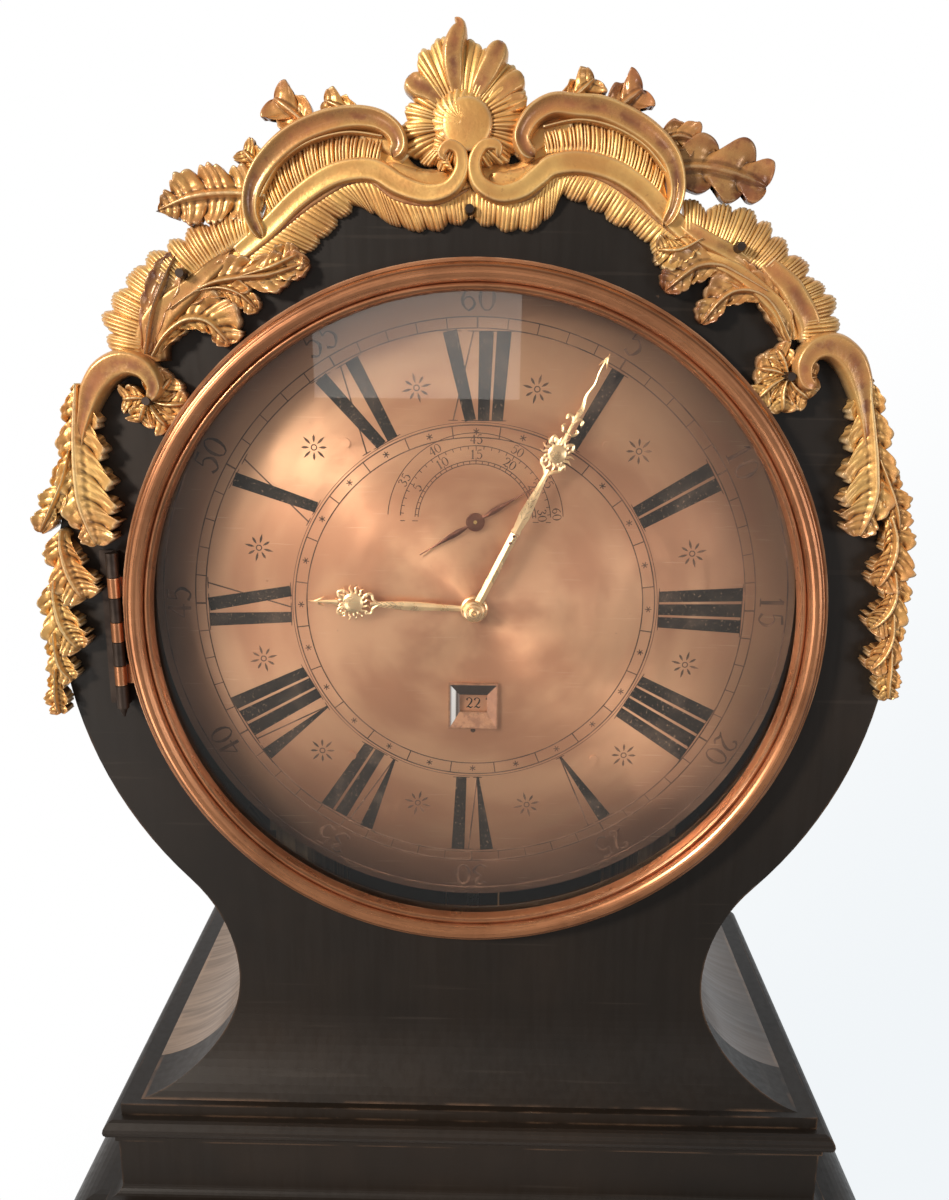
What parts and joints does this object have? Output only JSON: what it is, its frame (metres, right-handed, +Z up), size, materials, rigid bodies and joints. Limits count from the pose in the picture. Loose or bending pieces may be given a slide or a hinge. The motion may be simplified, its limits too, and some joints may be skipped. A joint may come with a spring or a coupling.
{
  "type": "regulator longcase clock",
  "caption": "Longcase regulator clock with round waisted hood, gilt carving, copper dial, seconds and date, going train, pendulum and weight.",
  "frame": {"origin": "centre of the footprint on the floor", "axes": "+Z up, -Y towards the viewer (dial side), +X to the viewer's right"},
  "size_m": [0.468, 0.26, 2.0516],
  "materials": {
    "ebonised_wood": "semi-gloss, worn",
    "inner_wood": "matt",
    "giltwood": "gilded, brown where worn",
    "copper_ring": "satin, worn",
    "dial_copper": "circular satin brushing",
    "hand_gold": "polished",
    "dark_metal": "satin",
    "movement_brass": "satin",
    "movement_steel": "satin",
    "clear_glass": "clear",
    "line_cord": "twisted gut"
  },
  "bodies": {
    "case": {"back_board": "ebonised_wood", "trunk_sides": "ebonised_wood", "trunk_front": "ebonised_wood", "trunk_top_moulding": "ebonised_wood", "base_cap_moulding": "ebonised_wood", "base_panels": "ebonised_wood", "plinth_skirt": "ebonised_wood", "seat_cheeks": "inner_wood", "seat_board": "inner_wood", "hood_runners": "inner_wood", "front_plate": "movement_brass", "back_plate": "movement_brass", "plate_pillars": "movement_brass", "back_cock": "movement_brass", "dial": "dial_copper", "dial_feet": "movement_brass", "date_frame": "dial_copper", "under_dial_studs": "movement_steel", "trunk_hinge_fixed": "movement_brass"},
    "centre": {"centre_wheel": "movement_brass", "cannon_wheel": "movement_brass", "minute_hand": "hand_gold"},
    "hour": {"hour_wheel": "movement_brass", "hour_hand": "hand_gold"},
    "minute_work": {"minute_wheel": "movement_brass"},
    "day": {"day_wheel": "movement_brass"},
    "third": {"third_wheel": "movement_brass"},
    "escape": {"escape_wheel": "movement_brass", "seconds_hand": "dark_metal"},
    "great": {"great_wheel": "movement_brass"},
    "drum": {"line_drum": "movement_brass"},
    "date": {"date_ring": "dial_copper"},
    "pendulum": {"pallet_arbor": "movement_steel", "crutch": "movement_steel", "pendulum_rod": "movement_steel", "pendulum_bob": "movement_brass", "rating_nut": "movement_brass", "suspension_spring": "movement_steel"},
    "weight": {"weight": "movement_brass", "pulley_stirrup": "movement_brass", "weight_line": "line_cord"},
    "pulley": {"pulley_wheel": "movement_brass"},
    "trunk_door": {"trunk_door": "ebonised_wood", "trunk_hinge_moving": "movement_brass", "door_escutcheon": "movement_brass"},
    "hood": {"hood_front": "ebonised_wood", "hood_arch": "ebonised_wood", "hood_necks": "ebonised_wood", "hood_plinth": "ebonised_wood", "bezel_hinge_fixed": "dark_metal", "crest_shell": "giltwood", "crest_scroll_left": "giltwood", "crest_scroll_right": "giltwood", "shoulder_leaf_left": "giltwood", "shoulder_leaf_right": "giltwood", "pendant_left": "giltwood", "pendant_right": "giltwood"},
    "round_door": {"bezel_ring": "copper_ring", "bezel_glass": "clear_glass", "bezel_hinge_moving": "copper_ring"}
  },
  "joints": [
    {"name": "minute_turn", "type": "hinge", "parent": "case", "child": "centre", "pos_m": [0, -0.035, 1.785], "axis": [0, 1, 0], "continuous": true},
    {"name": "hour_turn", "type": "hinge", "parent": "case", "child": "hour", "pos_m": [0, -0.035, 1.785], "axis": [0, 1, 0], "continuous": true},
    {"name": "minute_work_turn", "type": "hinge", "parent": "case", "child": "minute_work", "pos_m": [0.032, -0.035, 1.785], "axis": [0, 1, 0], "continuous": true},
    {"name": "day_turn", "type": "hinge", "parent": "case", "child": "day", "pos_m": [-0.02387, -0.035, 1.76113], "axis": [0, 1, 0], "continuous": true},
    {"name": "third_turn", "type": "hinge", "parent": "case", "child": "third", "pos_m": [0.01596, -0.035, 1.80897], "axis": [0, 1, 0], "continuous": true},
    {"name": "escape_turn", "type": "hinge", "parent": "case", "child": "escape", "pos_m": [0, -0.035, 1.831], "axis": [0, 1, 0], "continuous": true},
    {"name": "great_turn", "type": "hinge", "parent": "case", "child": "great", "pos_m": [0, -0.035, 1.7278], "axis": [0, 1, 0], "continuous": true},
    {"name": "date_turn", "type": "hinge", "parent": "case", "child": "date", "pos_m": [0, -0.035, 1.785], "axis": [0, 1, 0], "continuous": true},
    {"name": "pendulum_swing", "type": "hinge", "parent": "case", "child": "pendulum", "pos_m": [0, 0.046, 1.85928], "axis": [0, 1, 0], "range_deg": [-3, 3]},
    {"name": "weight_drop", "type": "slide", "parent": "case", "child": "weight", "axis": [0, 0, -1], "range_m": [0, 0.85], "deforming": ["weight_line"]},
    {"name": "drum_turn", "type": "hinge", "parent": "case", "child": "drum", "pos_m": [0, 0, 1.7278], "axis": [0, 1, 0], "range_deg": [-5768.5, 0]},
    {"name": "pulley_turn", "type": "hinge", "parent": "weight", "child": "pulley", "pos_m": [0, -0.012, 1.284], "axis": [0, 1, 0], "range_deg": [-2886.7, 0]},
    {"name": "trunk_door_swing", "type": "hinge", "parent": "case", "child": "trunk_door", "pos_m": [-0.131, -0.119, 0.9225], "axis": [0, 0, -1], "range_deg": [0, 100]},
    {"name": "hood_slide", "type": "slide", "parent": "case", "child": "hood", "axis": [0, -1, 0], "range_m": [0, 0.26]},
    {"name": "round_door_swing", "type": "hinge", "parent": "hood", "child": "round_door", "pos_m": [-0.1835, -0.095, 1.775], "axis": [0, 0, -1], "range_deg": [0, 90]}
  ],
  "couplings": [
    {"joint": "hour_turn", "follows": "minute_turn", "ratio": 0.083333},
    {"joint": "minute_work_turn", "follows": "minute_turn", "ratio": -0.75},
    {"joint": "day_turn", "follows": "minute_turn", "ratio": -0.041667},
    {"joint": "third_turn", "follows": "minute_turn", "ratio": -8},
    {"joint": "escape_turn", "follows": "minute_turn", "ratio": 60},
    {"joint": "great_turn", "follows": "minute_turn", "ratio": -0.083333},
    {"joint": "drum_turn", "follows": "weight_drop", "rad_per_m": -118.34},
    {"joint": "pulley_turn", "follows": "weight_drop", "rad_per_m": -59.172}
  ]
}
